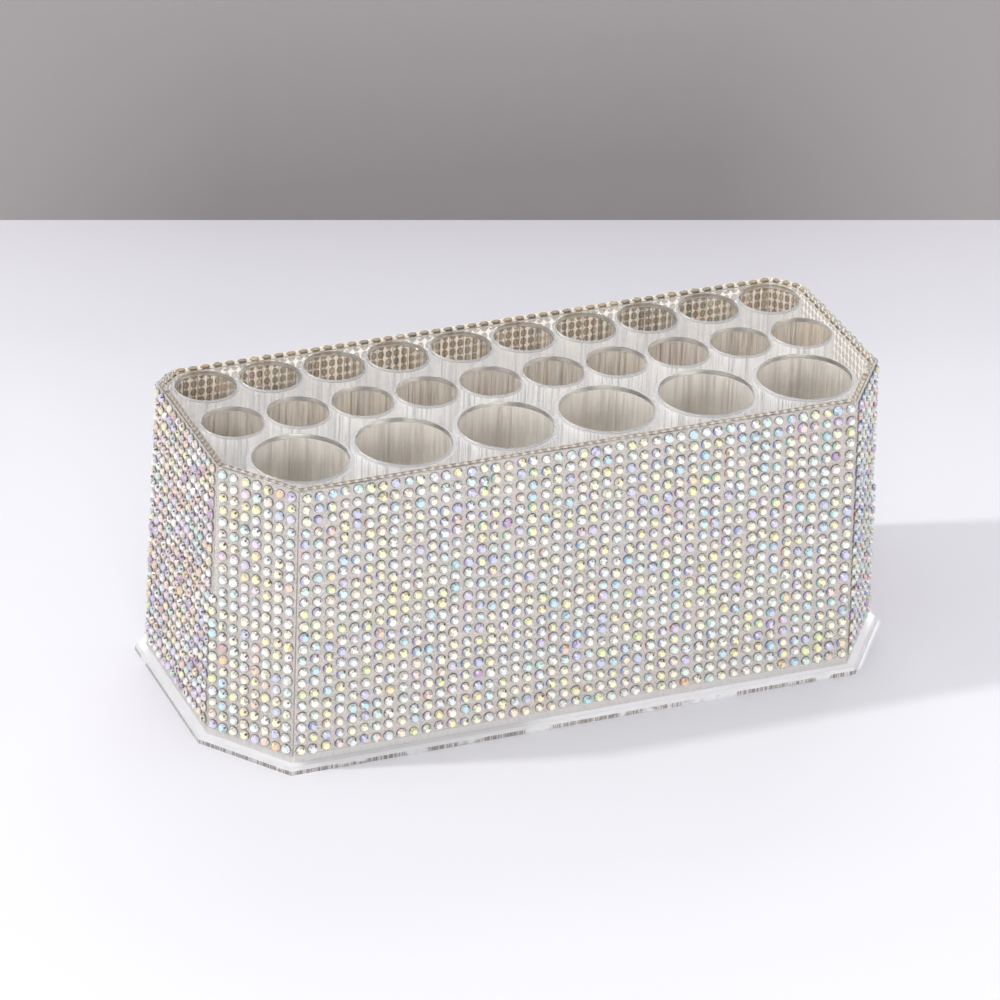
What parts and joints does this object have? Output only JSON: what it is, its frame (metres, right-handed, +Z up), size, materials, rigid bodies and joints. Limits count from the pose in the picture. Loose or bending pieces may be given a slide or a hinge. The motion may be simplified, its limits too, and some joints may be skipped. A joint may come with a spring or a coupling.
{
  "type": "makeup brush holder",
  "caption": "Clear upright holder with rows of round wells for make-up brushes, an eight-sided flared case covered in iridescent stones, and a flanged base plate.",
  "frame": {"origin": "centre of the footprint, on the underside of the base plate", "axes": "+Z up, +X along the long side, large front wells on the -Y side"},
  "size_m": [0.24, 0.1028, 0.099],
  "materials": {
    "clear_acrylic": "clear polished acrylic",
    "stone_backing": "matte taupe backing between the stones",
    "iridescent_stones": "faceted iridescent stones"
  },
  "bodies": {
    "root": {"base_plate": "clear_acrylic", "outer_shell": "clear_acrylic", "well_insert": "clear_acrylic", "backing_front": "stone_backing", "backing_front_right": "stone_backing", "backing_right": "stone_backing", "backing_back_right": "stone_backing", "backing_back": "stone_backing", "backing_back_left": "stone_backing", "backing_left": "stone_backing", "backing_front_left": "stone_backing", "stones_front": "iridescent_stones", "stones_front_right": "iridescent_stones", "stones_right": "iridescent_stones", "stones_back_right": "iridescent_stones", "stones_back": "iridescent_stones", "stones_back_left": "iridescent_stones", "stones_left": "iridescent_stones", "stones_front_left": "iridescent_stones"}
  },
  "joints": []
}
